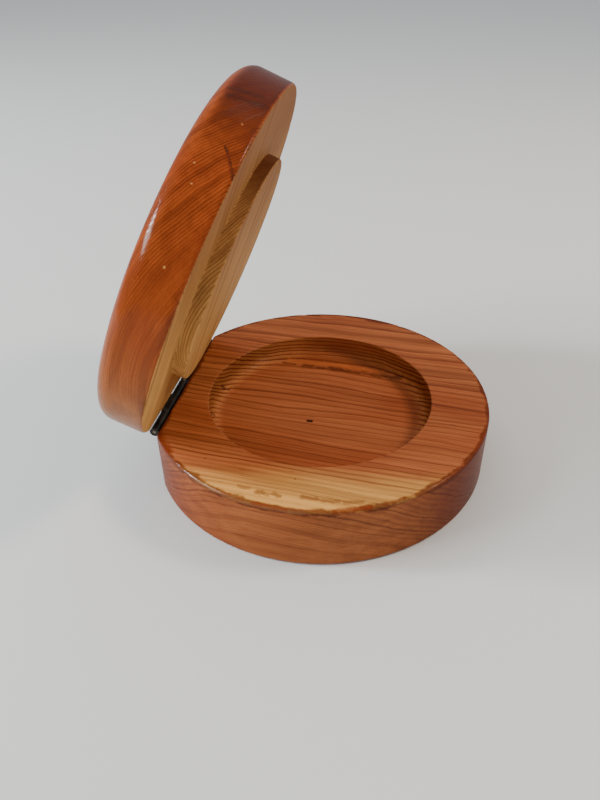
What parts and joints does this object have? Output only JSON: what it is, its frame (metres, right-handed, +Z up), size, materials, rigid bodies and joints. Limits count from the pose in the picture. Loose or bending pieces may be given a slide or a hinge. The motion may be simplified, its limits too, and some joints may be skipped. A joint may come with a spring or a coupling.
{
  "type": "hinged round wooden press",
  "caption": "Round varnished softwood press: recessed base and hinged lid with a raised plug that flattens what lies in the recess.",
  "frame": {"origin": "centre of the base board's underside, on the axis of the round recess", "axes": "+Z up, -X towards the hinges, Y along the hinge axis; the lid is stored standing open as in the picture"},
  "size_m": [0.2125, 0.2032, 0.2201],
  "materials": {
    "base_wood": "glossy varnish over red-brown softwood",
    "lid_wood": "glossy varnish over red-brown softwood",
    "hinge_metal": "aged black-brown lacquered steel, dull sheen",
    "pin_steel": "worn, brassy grey",
    "screw_steel": "black-brown, worn"
  },
  "bodies": {
    "base": {"base_board": "base_wood", "near_hinge_base_leaf": "hinge_metal", "near_hinge_pin": "pin_steel", "far_hinge_base_leaf": "hinge_metal", "far_hinge_pin": "pin_steel", "base_hinge_screws": "screw_steel"},
    "lid": {"lid_board": "lid_wood", "near_hinge_lid_leaf": "hinge_metal", "far_hinge_lid_leaf": "hinge_metal", "lid_hinge_screws": "screw_steel"}
  },
  "joints": [
    {"name": "lid_hinge", "type": "hinge", "parent": "base", "child": "lid", "pos_m": [-0.0878, 0, 0.037], "axis": [0, -1, 0], "range_deg": [-67, 113]}
  ]
}
